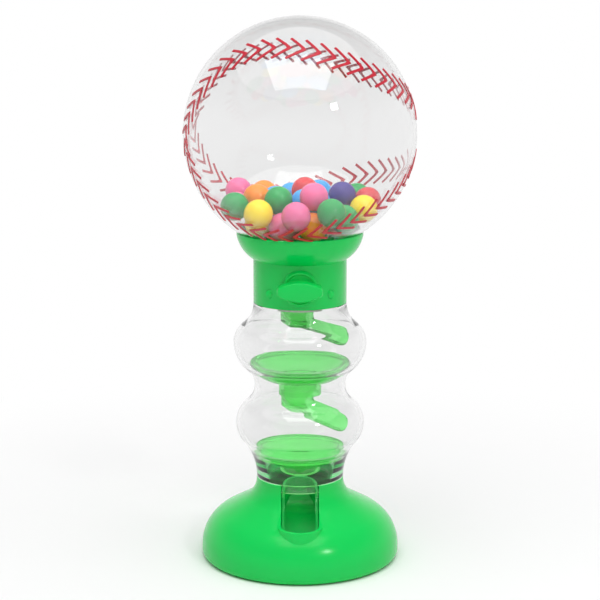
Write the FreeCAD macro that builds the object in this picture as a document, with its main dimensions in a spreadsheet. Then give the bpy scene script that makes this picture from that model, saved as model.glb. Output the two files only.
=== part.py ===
import FreeCAD, Part
import math
import os
import re
import Sketcher

# Gumball machine: clear globe, turn-knob dispenser in a green neck, clear double-bulge column with
# two funnels and two spoon chutes, and a bell base with a delivery slot.
# Millimetres, +Z up, the front faces -Y, the origin is the middle of the underside.

# Driving dimensions
SIZES = {
    # stack of heights
    "base_height": 37.0,
    "column_length": 80.0,
    "neck_length": 19.6,
    "collar_height": 12.0,
    # fits
    "part_clearance": 0.3,
    "lift_clearance": 0.2,
    "journal_play": 0.05,
    # globe and gumballs
    "globe_radius": 51.0,
    "globe_wall": 1.6,
    "spigot_radius": 17.0,
    "gumball_diameter": 12.4,
    "gumball_gap": 0.3,
    # neck and collar
    "neck_radius": 20.7,
    "neck_wall": 1.8,
    "collar_radius": 28.0,
    "collar_arc": 16.0,
    "collar_rim": 1.6,
    "shelf_thickness": 1.6,
    "shelf_width": 4.0,
    "knob_boss_radius": 7.9,
    "knob_boss_height": 0.8,
    "bearing_wall": 2.0,
    "pip_radius": 2.0,
    "pip_height": 1.0,
    "pip_spread": 13.0,
    "screw_spread": 14.2,
    "screw_radius": 1.2,
    "screw_length": 16.5,
    "screw_head_radius": 2.3,
    "screw_head_height": 1.5,
    "screw_boss_wall": 1.3,
    "screw_seat": 8.0,
    # dispenser
    "drum_radius": 8.2,
    "drum_length": 26.0,
    "drum_gap": 0.3,
    "barrel_wall": 1.3,
    "pocket_play": 0.4,
    "hopper_rim": 2.6,
    "stub_drop": 2.0,
    "stem_radius": 3.0,
    "stem_grip": 4.6,
    "journal_length": 4.6,
    "knob_radius": 7.5,
    "knob_flange": 1.6,
    "grip_length": 19.6,
    "grip_width": 8.5,
    "grip_tip": 2.8,
    "grip_height": 7.6,
    "grip_round": 1.2,
    # column
    "column_wall": 1.8,
    "spigot_depth": 4.0,
    "lower_bulge_radius": 28.8,
    "waist_radius": 20.4,
    "upper_bulge_radius": 29.7,
    "ledge_height": 1.2,
    "ledge_width": 1.6,
    # funnels and chutes
    "rim_height": 1.2,
    "rim_width": 2.0,
    "funnel_wall": 1.2,
    "dish_depth": 8.0,
    "dish_arc": 15.0,
    "outlet_length": 6.0,
    "outlet_wall": 0.9,
    "chute_radius": 8.5,
    "chute_wall": 1.2,
    "chute_depth": 12.0,
    "chute_chamfer": 3.2,
    "spoon_length": 25.0,
    "spoon_slope": 22.0,
    "spoon_heading": 14.0,
    "spoon_roll": 30.0,
    "spoon_open_angle": 42.0,
    # base
    "base_radius": 44.6,
    "base_wall": 1.8,
    "ring_radius": 19.6,
    "foot_height": 5.0,
    "foot_round": 3.0,
    "foot_land": 4.8,
    "foot_ledge": 1.2,
    "ring_land": 0.9873,
    "shoulder_angle": 61.2,
    "flare_arc": 10.7,
    "plate_thickness": 2.0,
    "base_screw_depth": 12.0,
    "base_screw_head": 1.1,
    "slot_half_width": 8.4,
    "lip_wall": 1.5,
    "lip_setback": 4.8,
    "lip_rise": 4.9,
    "lip_skirt": 9.0,
    "insert_wall": 1.3,
    "insert_recess": 0.8,
    "insert_drop": 1.5,
    "ramp_arc": 12.0,
    "ramp_drop": 3.3,
    "ramp_fall": 1.0,
    "floor_thickness": 1.5,
}

# Plain ratios: heights along the column, and how much of each S curve the bulge's arc takes
RATIOS = {
    "lower_rim_share": 0.159,
    "lower_bulge_share": 0.315,
    "waist_share": 0.5275,
    "upper_rim_share": 0.656,
    "upper_bulge_share": 0.776,
    "low_share": 0.34,
    "mid_share": 0.55,
    "high_share": 0.617,
    "top_share": 0.426,
}

# Sizes that follow from the driving ones
DERIVED = {
    "ball_radius": "gumball_diameter / 2",
    "neck_bottom": "base_height + column_length",
    "neck_top": "neck_bottom + neck_length",
    "collar_top": "neck_top + collar_height",
    "drum_height": "neck_bottom + neck_length / 2",
    "seat_radius": "globe_radius + lift_clearance",
    "globe_centre": "collar_top + sqrt(seat_radius^2 - collar_radius^2)",
    "globe_bore": "spigot_radius - globe_wall",
    "globe_inner": "globe_radius - globe_wall",
    "collar_bore": "spigot_radius + part_clearance",
    "neck_bore": "neck_radius - neck_wall",
    "shelf_top": "drum_height + drum_radius + drum_gap + barrel_wall + 2 * part_clearance",
    "shelf_bore": "neck_bore - shelf_width",
    "hopper_top": "shelf_top + hopper_rim",
    "spigot_foot": "hopper_top + lift_clearance",
    "barrel_bore": "drum_radius + drum_gap",
    "barrel_radius": "barrel_bore + barrel_wall",
    "barrel_half": "drum_length / 2 + part_clearance",
    "bearing_face": "barrel_half + part_clearance",
    "knob_face": "neck_radius + knob_boss_height",
    "knob_back": "knob_face + part_clearance",
    "knob_front": "knob_back + knob_flange",
    "grip_swell": "grip_width - grip_tip",
    "grip_arc": "(grip_length^2 + grip_swell^2) / (4 * grip_swell)",
    "passage": "chute_radius - chute_wall",
    "screw_boss": "screw_radius + screw_boss_wall",
    "column_plug": "neck_bore - part_clearance",
    "ring_bore": "ring_radius - base_wall",
    "base_plug": "ring_bore - part_clearance",
    "lower_bulge_rise": "column_length * lower_bulge_share",
    "waist_rise": "column_length * waist_share",
    "upper_bulge_rise": "column_length * upper_bulge_share",
    "upper_rim": "base_height + column_length * upper_rim_share",
    "lower_rim": "base_height + column_length * lower_rim_share",
    "stage_pitch": "upper_rim - lower_rim",
    "upper_chute_top": "drum_height - barrel_bore - part_clearance",
    "stub_foot": "neck_bottom - stub_drop",
    "lower_chute_top": "upper_chute_top - stage_pitch",
    "upper_outlet_foot": "lower_chute_top - outlet_length / 2",
    "lower_outlet_foot": "lower_rim - dish_depth - outlet_length / 2",
    "outlet_radius": "chute_radius + journal_play + outlet_wall",
    "plate_pocket": "base_radius - foot_land",
    "plate_radius": "plate_pocket - part_clearance",
    "ledge_bore": "plate_pocket - foot_ledge",
    "flare_centre": "ring_radius + flare_arc",
    "flare_height": "base_height - ring_land",
    # the shoulder's arc is the one whose flank runs on into the flare
    "shoulder_arc": "((flare_height - foot_height) * sin(shoulder_angle)"
                    " + (flare_centre - base_radius) * cos(shoulder_angle) - flare_arc) / (1 - cos(shoulder_angle))",
    "shoulder_centre": "base_radius - shoulder_arc",
    "boss_circle": "shoulder_centre + (shoulder_arc - base_wall) * cos(shoulder_angle) - screw_boss",
    "boss_top": "foot_height + (shoulder_arc - base_wall) * sin(shoulder_angle) + base_wall / 2",
    "lip_radius": "slot_half_width + lip_wall",
    "lip_reach": "base_radius - lip_setback",
    "lip_centre": "lip_reach - lip_radius",
    "lip_height": "foot_height + sqrt(shoulder_arc^2 - (lip_reach - shoulder_centre)^2) + lip_rise",
    "ramp_height": "lip_height - ramp_drop",
    "insert_half": "slot_half_width - part_clearance",
    "insert_bore": "insert_half - insert_wall",
    "insert_top": "base_height - spigot_depth - insert_drop",
}

# Column stretches from the base up: radius and height above the base of each bulge, then of its waist
COLUMN_STRETCHES = {
    "low": ("lower_bulge_radius", "lower_bulge_rise", "ring_radius", "0"),
    "mid": ("lower_bulge_radius", "lower_bulge_rise", "waist_radius", "waist_rise"),
    "high": ("upper_bulge_radius", "upper_bulge_rise", "waist_radius", "waist_rise"),
    "top": ("upper_bulge_radius", "upper_bulge_rise", "neck_radius", "column_length"),
}
# Each stretch is an S of two tangent arcs, whose radii add up to the span below
for stretch, (bulge, bulge_rise, waist, waist_rise) in COLUMN_STRETCHES.items():
    step = f"({bulge} - {waist})"
    climb = f"({bulge_rise} - {waist_rise})"
    DERIVED[f"{stretch}_span"] = f"({step}^2 + {climb}^2) / (2 * {step})"
    DERIVED[f"{stretch}_bulge_arc"] = f"{stretch}_span * {stretch}_share"
    DERIVED[f"{stretch}_waist_arc"] = f"{stretch}_span - {stretch}_bulge_arc"
    DERIVED[f"{stretch}_lean"] = f"1 - {step} / {stretch}_span"
    DERIVED[f"{stretch}_tilt"] = f"{climb} / {stretch}_span"
# The funnels' rims drop into the column just clear of its wall
DERIVED["upper_rim_radius"] = (
    "upper_bulge_radius - high_bulge_arc + sqrt((high_bulge_arc - column_wall)^2"
    " - (base_height + upper_bulge_rise - upper_rim + rim_height)^2) - part_clearance"
)
DERIVED["taper_radius"] = (
    "lower_bulge_radius - low_share * (lower_bulge_radius - ring_radius) - column_wall * low_lean"
)
DERIVED["taper_rise"] = "lower_bulge_rise * (1 - low_share) + column_wall * low_tilt - column_wall"
DERIVED["lower_rim_radius"] = (
    "base_plug - column_wall + (taper_radius - base_plug + column_wall) / taper_rise"
    " * (lower_rim - rim_height - base_height - column_wall) - part_clearance"
)

doc = FreeCAD.newDocument("gumball_machine")
sheet = doc.addObject("Spreadsheet::Sheet", "Size")
for row, (alias, content) in enumerate({**SIZES, **RATIOS, **DERIVED}.items(), start=1):
    sheet.set(f"A{row}", alias)
    sheet.set(f"B{row}", f"={content}" if alias in DERIVED else str(content))
    sheet.setAlias(f"B{row}", alias)
doc.recompute()


# Binding to the sheet
def bound(text):
    """The expression with each size's name led by the sheet's name."""
    def lead(match):
        word = match.group(0)
        return f"Size.{word}" if word in SIZES or word in RATIOS or word in DERIVED else word
    return re.sub(r"[a-z][a-z_]*", lead, str(text))


def number(text):
    """The value of an expression of sizes."""
    return float(sheet.evalExpression(bound(text)))


# Sketches
def plane_sketch(body, plane, lift="0"):
    """An empty sketch on one of the body's origin planes, lifted along the plane's normal."""
    sketch = body.newObject("Sketcher::SketchObject", "Sketch")
    origin = next(item for item in body.Origin.OriginFeatures if item.Role == plane)
    sketch.AttachmentSupport = [(origin, "")]
    sketch.MapMode = "FlatFace"
    sketch.setExpression(".AttachmentOffset.Base.z", bound(lift))
    return sketch


def fix_point(sketch, edge, end, across, up):
    """Bind a point of the sketch to two expressions; a zero lies on the axis."""
    for kind, axis, text in (("DistanceX", -2, across), ("DistanceY", -1, up)):
        if text == "0":
            sketch.addConstraint(Sketcher.Constraint("PointOnObject", edge, end, axis))
        else:
            index = sketch.addConstraint(Sketcher.Constraint(kind, edge, end, number(text)))
            sketch.setExpression(f"Constraints[{index}]", bound(text))


def draw_circle(sketch, across, up, radius):
    centre = FreeCAD.Vector(number(across), number(up), 0)
    circle = Part.Circle(centre, FreeCAD.Vector(0, 0, 1), number(radius))
    edge = sketch.addGeometry(circle, False)
    fix_point(sketch, edge, 3, across, up)
    index = sketch.addConstraint(Sketcher.Constraint("Radius", edge, number(radius)))
    sketch.setExpression(f"Constraints[{index}]", bound(radius))


def arc_between(start, end, radius, side):
    """The arc under a half turn from start to end; side 1 turns left, -1 turns right."""
    chord = end - start
    middle = (start + end) * 0.5
    left = FreeCAD.Vector(-chord.y, chord.x, 0).normalize()
    rise = math.sqrt(max(radius**2 - chord.Length**2 / 4, 0))
    centre = middle + left * rise * side
    first, last = (start, end) if side > 0 else (end, start)
    angles = [math.atan2(point.y - centre.y, point.x - centre.x) for point in (first, last)]
    return Part.ArcOfCircle(Part.Circle(centre, FreeCAD.Vector(0, 0, 1), radius), *angles)


def draw_outline(sketch, path):
    """A closed outline: each entry is a point, with a radius and a side where an arc leaves it."""
    points = [FreeCAD.Vector(number(entry[0]), number(entry[1]), 0) for entry in path]
    edges = []
    for entry, start, end in zip(path, points, points[1:] + points[:1]):
        if len(entry) == 2:
            edges.append((sketch.addGeometry(Part.LineSegment(start, end), False), 1, 2))
            continue
        radius, side = entry[2:]
        edge = sketch.addGeometry(arc_between(start, end, number(radius), side), False)
        edges.append((edge, 1, 2) if side > 0 else (edge, 2, 1))
    for before, after in zip(edges[-1:] + edges[:-1], edges):
        sketch.addConstraint(Sketcher.Constraint("Coincident", before[0], before[2], after[0], after[1]))
    for entry, (edge, start, _) in zip(path, edges):
        fix_point(sketch, edge, start, entry[0], entry[1])
        if len(entry) > 2:
            index = sketch.addConstraint(Sketcher.Constraint("Radius", edge, number(entry[2])))
            sketch.setExpression(f"Constraints[{index}]", bound(entry[2]))


# Features
def new_body(label):
    body = doc.addObject("PartDesign::Body", label)
    body.Label = label
    return body


def turn(body, path, degrees=360, front=False):
    """Revolve an outline of radius and height about the upright axis, whole or on one side."""
    sketch = plane_sketch(body, "XZ_Plane")
    draw_outline(sketch, path)
    feature = body.newObject("PartDesign::Revolution", "Turn")
    feature.Profile = sketch
    feature.ReferenceAxis = (sketch, ["V_Axis"])
    feature.Angle = degrees
    feature.Reversed = front
    doc.recompute()


def extrude(body, kind, plane, shapes, lift, length, back=False):
    """Pad or pocket circles and outlines from a lifted plane, along its normal or back from it."""
    sketch = plane_sketch(body, plane, lift)
    for shape in shapes:
        if len(shape) == 3 and isinstance(shape[0], str):
            draw_circle(sketch, *shape)
        else:
            draw_outline(sketch, shape)
    feature = body.newObject(f"PartDesign::{kind}", kind)
    feature.Profile = sketch
    feature.setExpression("Length", bound(length))
    # A pocket cuts against the plane's normal unless it is reversed
    feature.Reversed = back if kind == "Pad" else not back
    volume = body.Shape.Volume if body.Shape.Solids else 0.0
    doc.recompute()
    assert abs(body.Shape.Volume - volume) > 1e-3, f"{body.Label}: a {kind} changed nothing"


def pad(body, plane, shapes, lift, length, back=False):
    extrude(body, "Pad", plane, shapes, lift, length, back)


def pocket(body, plane, shapes, lift, length, back=False):
    extrude(body, "Pocket", plane, shapes, lift, length, back)


def solid(kind, place, **sizes):
    """A Part primitive with its sizes bound to the sheet."""
    item = doc.addObject(f"Part::{kind}", kind)
    for size, text in sizes.items():
        item.setExpression(size, bound(text))
    item.Placement = place
    return item


def combine(kind, label, *items):
    """A boolean of two or more objects, the later ones fused into or cut from the first."""
    result = items[0]
    for item in items[1:]:
        step = doc.addObject(f"Part::{kind}", f"{label}_step")
        step.Base = result
        step.Tool = item
        result = step
    result.Label = label
    return result


def at(across="0", deep="0", up="0", rotation=None):
    """A placement from expressions of sizes."""
    base = FreeCAD.Vector(number(across), number(deep), number(up))
    return FreeCAD.Placement(base, rotation or FreeCAD.Rotation())


TOWARDS_BACK = FreeCAD.Rotation(FreeCAD.Vector(1, 0, 0), -90)


# Globe
def make_globe():
    globe = new_body("globe")
    outer_foot = "globe_centre - sqrt(globe_radius^2 - spigot_radius^2)"
    inner_foot = "globe_centre - sqrt(globe_inner^2 - globe_bore^2)"
    turn(globe, [
        ("0", "globe_centre + globe_radius", "globe_radius", -1),
        ("spigot_radius", outer_foot),
        ("spigot_radius", "spigot_foot"),
        ("globe_bore", "spigot_foot"),
        ("globe_bore", inner_foot, "globe_inner", 1),
        ("0", "globe_centre + globe_inner"),
    ])
    return globe


# Gumballs: where each starts before the pile settles, in millimetres from the globe's centre
# (across, deep, up). The first list is the face of the pile, the second the balls behind and below it.
# They were chosen for balls of the diameter below and scale with the real one.
PILE_BALL = 12.4
PILE_FACE = [
    ("pink", -33, 6, -25), ("green", -25, 15, -25), ("orange", -15, 22, -25), ("blue", -11, 5, -24),
    ("blue", -3, 12, -28), ("orange", -18, -9, -28), ("blue", 14, -8, -28), ("red", 5, 23, -25),
    ("pink", 7, -19, -26), ("purple", 20, 3, -25), ("yellow", 26, -8, -27), ("red", 35, 6, -25),
    ("green", 27, -22, -26), ("green", 17, -29, -28), ("orange", 6, -28, -33), ("pink", -3, -33, -27),
    ("pink", -13, -27, -33), ("yellow", -22, -26, -29), ("green", -29, -20, -26), ("green", -17, -22, -24),
]
PILE_INSIDE = [
    ("yellow", 24, 22, -28), ("pink", -33, 20, -22), ("blue", 12, 33, -26), ("blue", -4, 36, -24),
    ("orange", -18, 33, -24), ("green", 33, 20, -22), ("yellow", 8, 8, -36), ("pink", -8, -10, -38),
    ("blue", -22, 4, -36), ("orange", 22, -6, -37), ("red", -10, 20, -37), ("green", 10, -12, -40),
    ("purple", 4, 20, -38), ("yellow", -20, -14, -37), ("pink", 24, 10, -36),
]


def settled_pile():
    """Colour and centre of each ball once the pile has come to rest in the globe without touching."""
    reach = number("globe_inner - ball_radius - gumball_gap")
    spacing = number("gumball_diameter + gumball_gap")
    drop = number("gumball_diameter / 100")
    rounds = 400
    waiting = FreeCAD.Vector(0, 0, number("drum_height + drum_radius + gumball_gap + ball_radius - globe_centre"))
    scale = number("gumball_diameter") / PILE_BALL
    pile = [(colour, FreeCAD.Vector(*place) * scale) for colour, *place in PILE_FACE + PILE_INSIDE]
    balls = [waiting] + [place for _, place in pile]
    for step in range(rounds):
        falling = step < rounds / 2
        for index in range(1, len(balls)):
            if falling:
                balls[index] = balls[index] - FreeCAD.Vector(0, 0, drop)
            if balls[index].Length > reach:
                balls[index] = balls[index] * (reach / balls[index].Length)
        for first in range(len(balls)):
            for second in range(first + 1, len(balls)):
                apart = balls[second] - balls[first]
                if apart.Length < spacing:
                    push = apart.normalize() * (spacing - (balls[second] - balls[first]).Length)
                    share = 1.0 if first == 0 else 0.5
                    balls[second] = balls[second] + push * share
                    if first:
                        balls[first] = balls[first] - push * (1 - share)
    centre = FreeCAD.Vector(0, 0, number("globe_centre"))
    colours = ["green"] + [colour for colour, _ in pile]
    return [(colour, centre + place) for colour, place in zip(colours, balls)]


def make_gumballs():
    groups = {}
    for colour, place in settled_pile():
        ball = solid("Sphere", FreeCAD.Placement(place, FreeCAD.Rotation()), Radius="ball_radius")
        groups.setdefault(colour, []).append(ball)
    nodes = []
    for colour, balls in groups.items():
        group = doc.addObject("Part::Compound", f"{colour}_gumballs")
        group.Label = f"{colour}_gumballs"
        group.Links = balls
        nodes.append(group)
    return nodes


# Neck and collar, in two halves that meet on the plane through the axis
def neck_profile():
    seat_low = "globe_centre - sqrt(seat_radius^2 - collar_bore^2)"
    return [
        ("neck_bore", "neck_bottom"),
        ("neck_radius", "neck_bottom"),
        ("neck_radius", "neck_top", "collar_arc", 1),
        ("collar_radius", "collar_top - collar_rim"),
        ("collar_radius", "collar_top", "seat_radius", -1),
        ("collar_bore", seat_low),
        ("collar_bore", "shelf_top"),
        ("shelf_bore", "shelf_top"),
        ("shelf_bore", "shelf_top - shelf_thickness"),
        ("neck_bore", "shelf_top - shelf_thickness"),
    ]


def both_sides(spread, radius):
    return [(f"-{spread}", "drum_height", radius), (spread, "drum_height", radius)]


def screw_pair(radius):
    return both_sides("screw_spread", radius)


def make_neck_front():
    shell = new_body("neck_front_shell")
    turn(shell, neck_profile(), 180, front=True)
    bearing = ("0", "drum_height", "stem_radius + bearing_wall")
    pad(shell, "XZ_Plane", [bearing], "bearing_face", "neck_radius - bearing_face - neck_wall / 2")
    boss = ("0", "drum_height", "knob_boss_radius")
    boss_root = "neck_bore + journal_play"
    pad(shell, "XZ_Plane", [boss], boss_root, f"knob_face - ({boss_root})")
    pad(shell, "XZ_Plane", screw_pair("screw_boss"), "0", "sqrt(neck_bore^2 - screw_spread^2)")
    pip_root = "sqrt(neck_radius^2 - (pip_spread + pip_radius)^2) - neck_wall / 2"
    pip_face = "sqrt(neck_radius^2 - pip_spread^2) + pip_height"
    pips = both_sides("pip_spread", "pip_radius")
    pad(shell, "XZ_Plane", pips, pip_root, f"{pip_face} - ({pip_root})")
    hole = ("0", "drum_height", "stem_radius + journal_play")
    pocket(shell, "XZ_Plane", [hole], "0", "knob_face")
    pilot = screw_pair("screw_radius + journal_play")
    pocket(shell, "XZ_Plane", pilot, "0", "screw_length - screw_seat + part_clearance")
    return shell


def make_neck_rear():
    shell = new_body("neck_rear_shell")
    turn(shell, neck_profile(), 180)
    bearing = ("0", "drum_height", "stem_radius + bearing_wall")
    pad(shell, "XZ_Plane", [bearing], "-bearing_face", "neck_radius - bearing_face - neck_wall / 2", back=True)
    pad(shell, "XZ_Plane", screw_pair("screw_boss + screw_head_radius - screw_radius"), "0",
        "sqrt(neck_bore^2 - screw_spread^2)", back=True)
    hole = ("0", "drum_height", "stem_radius + journal_play")
    pocket(shell, "XZ_Plane", [hole], "-bearing_face", "journal_length", back=True)
    pocket(shell, "XZ_Plane", screw_pair("screw_radius + part_clearance"), "0", "screw_seat", back=True)
    pocket(shell, "XZ_Plane", screw_pair("screw_head_radius + part_clearance"), "-screw_seat",
           "neck_radius", back=True)
    return shell


def make_neck_screws():
    screws = []
    for side in ("-screw_spread", "screw_spread"):
        shank = solid("Cylinder", at(side, "screw_seat - screw_length", "drum_height", TOWARDS_BACK),
                      Radius="screw_radius", Height="screw_length")
        head = solid("Cylinder", at(side, "screw_seat", "drum_height", TOWARDS_BACK),
                     Radius="screw_head_radius", Height="screw_head_height")
        screws.append(combine("Fuse", "neck_screw", shank, head))
    group = doc.addObject("Part::Compound", "neck_screws")
    group.Label = "neck_screws"
    group.Links = screws
    return group


# Dispenser: the housing hangs by its rim from the neck's shelf, with the drum across it
def make_housing():
    along = at("0", "-barrel_half", "drum_height", TOWARDS_BACK)
    barrel = solid("Cylinder", along, Radius="barrel_radius", Height="2 * barrel_half")
    rim = solid("Cylinder", at(up="shelf_top"), Radius="spigot_radius", Height="hopper_rim")
    throat_wall = solid("Cylinder", at(up="drum_height"), Radius="passage + barrel_wall",
                        Height="shelf_top - drum_height")
    socket_wall = solid("Cylinder", at(up="stub_foot"), Radius="chute_radius + barrel_wall",
                        Height="drum_height - stub_foot")
    bore = solid("Cylinder", along, Radius="barrel_bore", Height="2 * barrel_half")
    throat = solid("Cylinder", at(up="drum_height"), Radius="passage", Height="hopper_top - drum_height")
    cone = solid("Cone", at(up="shelf_top - part_clearance"), Radius1="passage",
                 Radius2="globe_bore", Height="hopper_rim + part_clearance")
    socket = solid("Cylinder", at(up="stub_foot"), Radius="chute_radius + journal_play",
                   Height="upper_chute_top - stub_foot")
    outlet = solid("Cylinder", at(up="stub_foot"), Radius="passage", Height="drum_height - stub_foot")
    whole = combine("Fuse", "hopper_blank", barrel, rim, throat_wall, socket_wall)
    return combine("Cut", "hopper_housing", whole, bore, throat, cone, socket, outlet)


def make_drum():
    along = at("0", "-drum_length / 2", "drum_height", TOWARDS_BACK)
    drum = solid("Cylinder", along, Radius="drum_radius", Height="drum_length")
    journal = solid("Cylinder", at("0", "drum_length / 2", "drum_height", TOWARDS_BACK),
                    Radius="stem_radius", Height="journal_length")
    # The pocket faces down at rest: its round end lies past the axis, deep enough for a whole ball
    pocket_end = "drum_height - drum_radius + gumball_diameter / 2 + pocket_play"
    pocket_size = "ball_radius + pocket_play"
    round_end = solid("Sphere", at(up=pocket_end), Radius=pocket_size)
    mouth = solid("Cylinder", at(up=f"{pocket_end} - 2 * drum_radius"), Radius=pocket_size, Height="2 * drum_radius")
    stem_hole = solid("Cylinder", along, Radius="stem_radius + journal_play", Height="stem_grip")
    blank = combine("Fuse", "drum_blank", drum, journal)
    return combine("Cut", "dispensing_drum", blank, round_end, mouth, stem_hole)


def make_knob():
    knob = new_body("knob")
    axis = ("0", "0")
    pad(knob, "XZ_Plane", [(*axis, "knob_radius")], "knob_back", "knob_flange")
    stem_end = "drum_length / 2 - stem_grip + part_clearance"
    pad(knob, "XZ_Plane", [(*axis, "stem_radius")], stem_end, f"knob_back - ({stem_end})")
    grip = [
        ("-grip_length / 2", "-grip_tip / 2", "grip_arc", 1),
        ("grip_length / 2", "-grip_tip / 2"),
        ("grip_length / 2", "grip_tip / 2", "grip_arc", 1),
        ("-grip_length / 2", "grip_tip / 2"),
    ]
    pad(knob, "XZ_Plane", [grip], "knob_front", "grip_height")
    # The grip's front is the face furthest to the front
    faces = knob.Shape.Faces
    front = min(range(len(faces)), key=lambda index: faces[index].CenterOfMass.y)
    block = knob.Tip
    rounding = knob.newObject("PartDesign::Fillet", "GripRound")
    rounding.Base = (block, [f"Face{front + 1}"])
    rounding.setExpression("Radius", bound("grip_round"))
    knob.Placement = at(up="drum_height")
    doc.recompute()
    return knob


# Column: one outline of tangent arcs, turned half way for each shell
def column_profile():
    def rise(text):
        return f"base_height + {text}"

    def joint(stretch, inside):
        """The point where the bulge's arc meets the waist's, on the outer or the inner face."""
        bulge, bulge_rise, waist, waist_rise = COLUMN_STRETCHES[stretch]
        across = f"{bulge} - {stretch}_share * ({bulge} - {waist})"
        up = f"base_height + {bulge_rise} - {stretch}_share * ({bulge_rise} - {waist_rise})"
        if inside:
            across += f" - column_wall * {stretch}_lean"
            up += f" + column_wall * {stretch}_tilt"
        return across, up

    outer = [
        ("ring_radius", rise("0"), "low_waist_arc", -1),
        (*joint("low", False), "low_bulge_arc", 1),
        ("lower_bulge_radius", rise("lower_bulge_rise"), "mid_bulge_arc", 1),
        (*joint("mid", False), "mid_waist_arc", -1),
        ("waist_radius", rise("waist_rise"), "high_waist_arc", -1),
        (*joint("high", False), "high_bulge_arc", 1),
        ("upper_bulge_radius", rise("upper_bulge_rise"), "top_bulge_arc", 1),
        (*joint("top", False), "top_waist_arc", -1),
        ("neck_radius", "neck_bottom"),
    ]
    top_plug = [
        ("column_plug", "neck_bottom"),
        ("column_plug", "neck_bottom + spigot_depth"),
        ("column_plug - column_wall", "neck_bottom + spigot_depth"),
        ("column_plug - column_wall", "neck_bottom - column_wall"),
    ]
    inner = [
        (*joint("top", True), "top_bulge_arc - column_wall", -1),
        ("upper_bulge_radius - column_wall", rise("upper_bulge_rise"), "high_bulge_arc - column_wall", -1),
        (*joint("high", True), "high_waist_arc + column_wall", 1),
        ("waist_radius - column_wall", rise("waist_rise"), "mid_waist_arc + column_wall", 1),
        (*joint("mid", True), "mid_bulge_arc - column_wall", -1),
        ("lower_bulge_radius - column_wall", rise("lower_bulge_rise"), "low_bulge_arc - column_wall", -1),
        joint("low", True),
    ]
    base_plug = [
        ("base_plug - column_wall", "base_height + column_wall"),
        ("base_plug - column_wall", "base_height - spigot_depth"),
        ("base_plug", "base_height - spigot_depth"),
        ("base_plug", "base_height"),
    ]
    return outer + top_plug + inner + base_plug


def make_column(label, front):
    shell = new_body(label)
    turn(shell, column_profile(), 180, front)
    for rim, radius in (("upper_rim", "upper_rim_radius"), ("lower_rim", "lower_rim_radius")):
        top = f"{rim} - rim_height"
        ledge = [
            (f"{radius} - ledge_width", f"{top} - ledge_height"),
            (f"{radius} + column_wall / 2", f"{top} - ledge_height"),
            (f"{radius} + column_wall / 2", top),
            (f"{radius} - ledge_width", top),
        ]
        turn(shell, ledge, 180, front)
    return shell


# Funnels
def make_funnel(label, rim, radius, outlet):
    funnel = new_body(label)
    dish_inside = f"{radius} - rim_width - part_clearance"
    turn(funnel, [
        *outlet,
        ("outlet_radius", f"{rim} - dish_depth", "dish_arc", 1),
        (f"{radius} - rim_width", f"{rim} - rim_height"),
        (radius, f"{rim} - rim_height"),
        (radius, rim),
        (f"{dish_inside} - funnel_wall / 2", rim, "dish_arc", -1),
        ("passage", f"{rim} - dish_depth + funnel_wall"),
    ])
    return funnel


def make_funnels():
    socket = "chute_radius + journal_play"
    upper = make_funnel("upper_funnel", "upper_rim", "upper_rim_radius", [
        ("passage", "lower_chute_top"),
        (socket, "lower_chute_top"),
        (socket, "upper_outlet_foot"),
        ("outlet_radius", "upper_outlet_foot"),
    ])
    lower = make_funnel("lower_funnel", "lower_rim", "lower_rim_radius", [
        ("passage", "lower_outlet_foot"),
        ("outlet_radius", "lower_outlet_foot"),
    ])
    return [upper, lower]


# Chutes: a cup with a spoon, hollowed by one elbow-shaped passage
def make_chute(label, top):
    foot = f"{top} - chute_depth"
    elbow = f"{foot} + chute_wall + passage"
    cup = new_body(f"{label}_cup")
    turn(cup, [
        ("0", foot),
        ("chute_radius - chute_chamfer", foot),
        ("chute_radius", f"{foot} + chute_chamfer"),
        ("chute_radius", top),
        ("0", top),
    ])
    heading = FreeCAD.Rotation(FreeCAD.Vector(0, 0, 1), -number("spoon_heading"))
    slope = FreeCAD.Rotation(FreeCAD.Vector(0, 1, 0), number("spoon_slope"))
    roll = FreeCAD.Rotation(FreeCAD.Vector(1, 0, 0), number("spoon_roll"))
    spoon_frame = FreeCAD.Placement(at(up=elbow).Base, heading * slope * roll)
    along = FreeCAD.Placement(FreeCAD.Vector(), FreeCAD.Rotation(FreeCAD.Vector(0, 1, 0), 90))

    def in_spoon(across="0", deep="0", up="0"):
        return spoon_frame * at(across, deep, up)

    # The spoon is the low part of a pipe, cut by a plane and rounded at its tip
    edge = "chute_radius * cos(spoon_open_angle)"
    half = "chute_radius * sin(spoon_open_angle)"
    pipe = solid("Cylinder", spoon_frame * along, Radius="chute_radius", Height="spoon_length")
    straight = solid("Box", in_spoon("0", "-chute_radius", "-2 * chute_radius"),
                     Length=f"spoon_length - {half}", Width="2 * chute_radius", Height=f"2 * chute_radius - {edge}")
    tip = solid("Cylinder", in_spoon(f"spoon_length - {half}", "0", "-2 * chute_radius"),
                Radius=half, Height=f"2 * chute_radius - {edge}")
    outline = combine("Fuse", f"{label}_outline", straight, tip)
    spoon = combine("Common", f"{label}_spoon", pipe, outline)
    blank = combine("Fuse", f"{label}_blank", cup, spoon)
    drop = solid("Cylinder", at(up=elbow), Radius="passage", Height=f"{top} - ({elbow})")
    bend = solid("Sphere", at(up=elbow), Radius="passage")
    run = solid("Cylinder", spoon_frame * along, Radius="passage", Height="2 * spoon_length")
    return combine("Cut", label, blank, drop, bend, run)


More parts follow.
